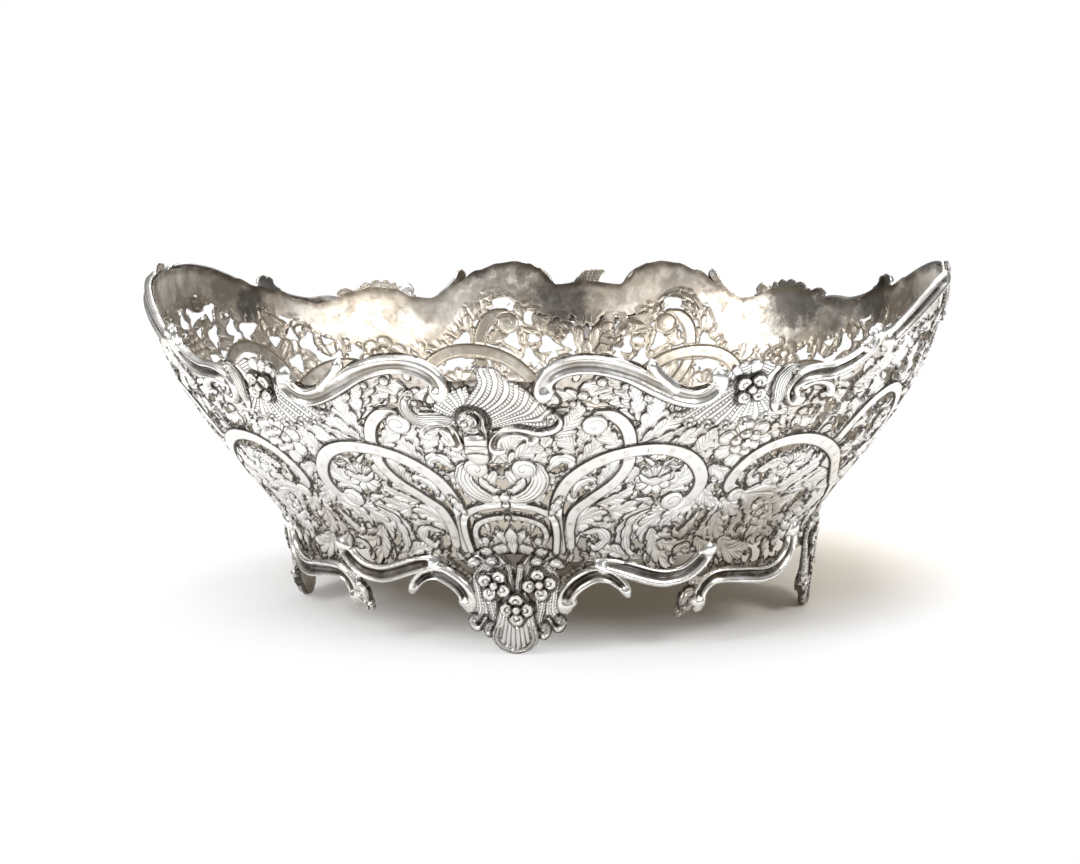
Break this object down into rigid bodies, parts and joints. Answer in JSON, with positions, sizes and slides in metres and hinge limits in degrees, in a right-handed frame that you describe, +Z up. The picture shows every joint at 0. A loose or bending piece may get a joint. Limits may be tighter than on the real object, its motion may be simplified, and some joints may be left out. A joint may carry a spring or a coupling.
{
  "type": "pierced silver bread basket",
  "caption": "Oval pierced and chased silver bread basket with a serpentine scroll rim, shell ornaments and shell feet.",
  "frame": {"origin": "on the ground under the middle of the basket", "axes": "+X along the basket, -Y to the front with its leaning shell, +Z up"},
  "size_m": [0.3462, 0.2806, 0.1502],
  "materials": {
    "silver_sheet": "old silver sheet, chased and pierced, bright relief over dark tarnish",
    "silver_floor": "plain silver sheet with grey tarnish",
    "silver_casting": "cast silver, rubbed bright on its edges",
    "silver_foot": "cast silver with dark hollows"
  },
  "bodies": {
    "root": {"base_plate": "silver_floor", "cartouche_flower_back_left": "silver_casting", "cartouche_flower_back_right": "silver_casting", "cartouche_flower_front_left": "silver_casting", "cartouche_flower_front_right": "silver_casting", "foot_rosette_left_back": "silver_foot", "foot_rosette_left_front": "silver_foot", "foot_rosette_left_left": "silver_foot", "foot_rosette_left_right": "silver_foot", "foot_rosette_lower_back": "silver_foot", "foot_rosette_lower_front": "silver_foot", "foot_rosette_lower_left": "silver_foot", "foot_rosette_lower_right": "silver_foot", "foot_rosette_right_back": "silver_foot", "foot_rosette_right_front": "silver_foot", "foot_rosette_right_left": "silver_foot", "foot_rosette_right_right": "silver_foot", "foot_scroll_inner_back_left": "silver_foot", "foot_scroll_inner_back_right": "silver_foot", "foot_scroll_inner_front_left": "silver_foot", "foot_scroll_inner_front_right": "silver_foot", "foot_scroll_outer_back_left": "silver_foot", "foot_scroll_outer_back_right": "silver_foot", "foot_scroll_outer_front_left": "silver_foot", "foot_scroll_outer_front_right": "silver_foot", "foot_shell_back": "silver_foot", "foot_shell_front": "silver_foot", "foot_shell_left": "silver_foot", "foot_shell_right": "silver_foot", "pierced_wall": "silver_sheet", "rim_cartouche_back_left": "silver_casting", "rim_cartouche_back_right": "silver_casting", "rim_cartouche_front_left": "silver_casting", "rim_cartouche_front_right": "silver_casting", "rim_crest_scroll_back_left": "silver_casting", "rim_crest_scroll_back_right": "silver_casting", "rim_crest_scroll_front_left": "silver_casting", "rim_crest_scroll_front_right": "silver_casting", "rim_end_scroll_back_left": "silver_casting", "rim_end_scroll_back_right": "silver_casting", "rim_end_scroll_front_left": "silver_casting", "rim_end_scroll_front_right": "silver_casting", "rim_end_shell_left": "silver_casting", "rim_end_shell_right": "silver_casting", "rim_scroll_back_left": "silver_casting", "rim_scroll_back_right": "silver_casting", "rim_scroll_front_left": "silver_casting", "rim_scroll_front_right": "silver_casting", "rim_shell_back": "silver_casting", "rim_shell_front": "silver_casting", "shell_horn_back": "silver_casting", "shell_horn_front": "silver_casting", "shell_scroll_left_back": "silver_casting", "shell_scroll_left_front": "silver_casting", "shell_scroll_right_back": "silver_casting", "shell_scroll_right_front": "silver_casting"}
  },
  "joints": []
}
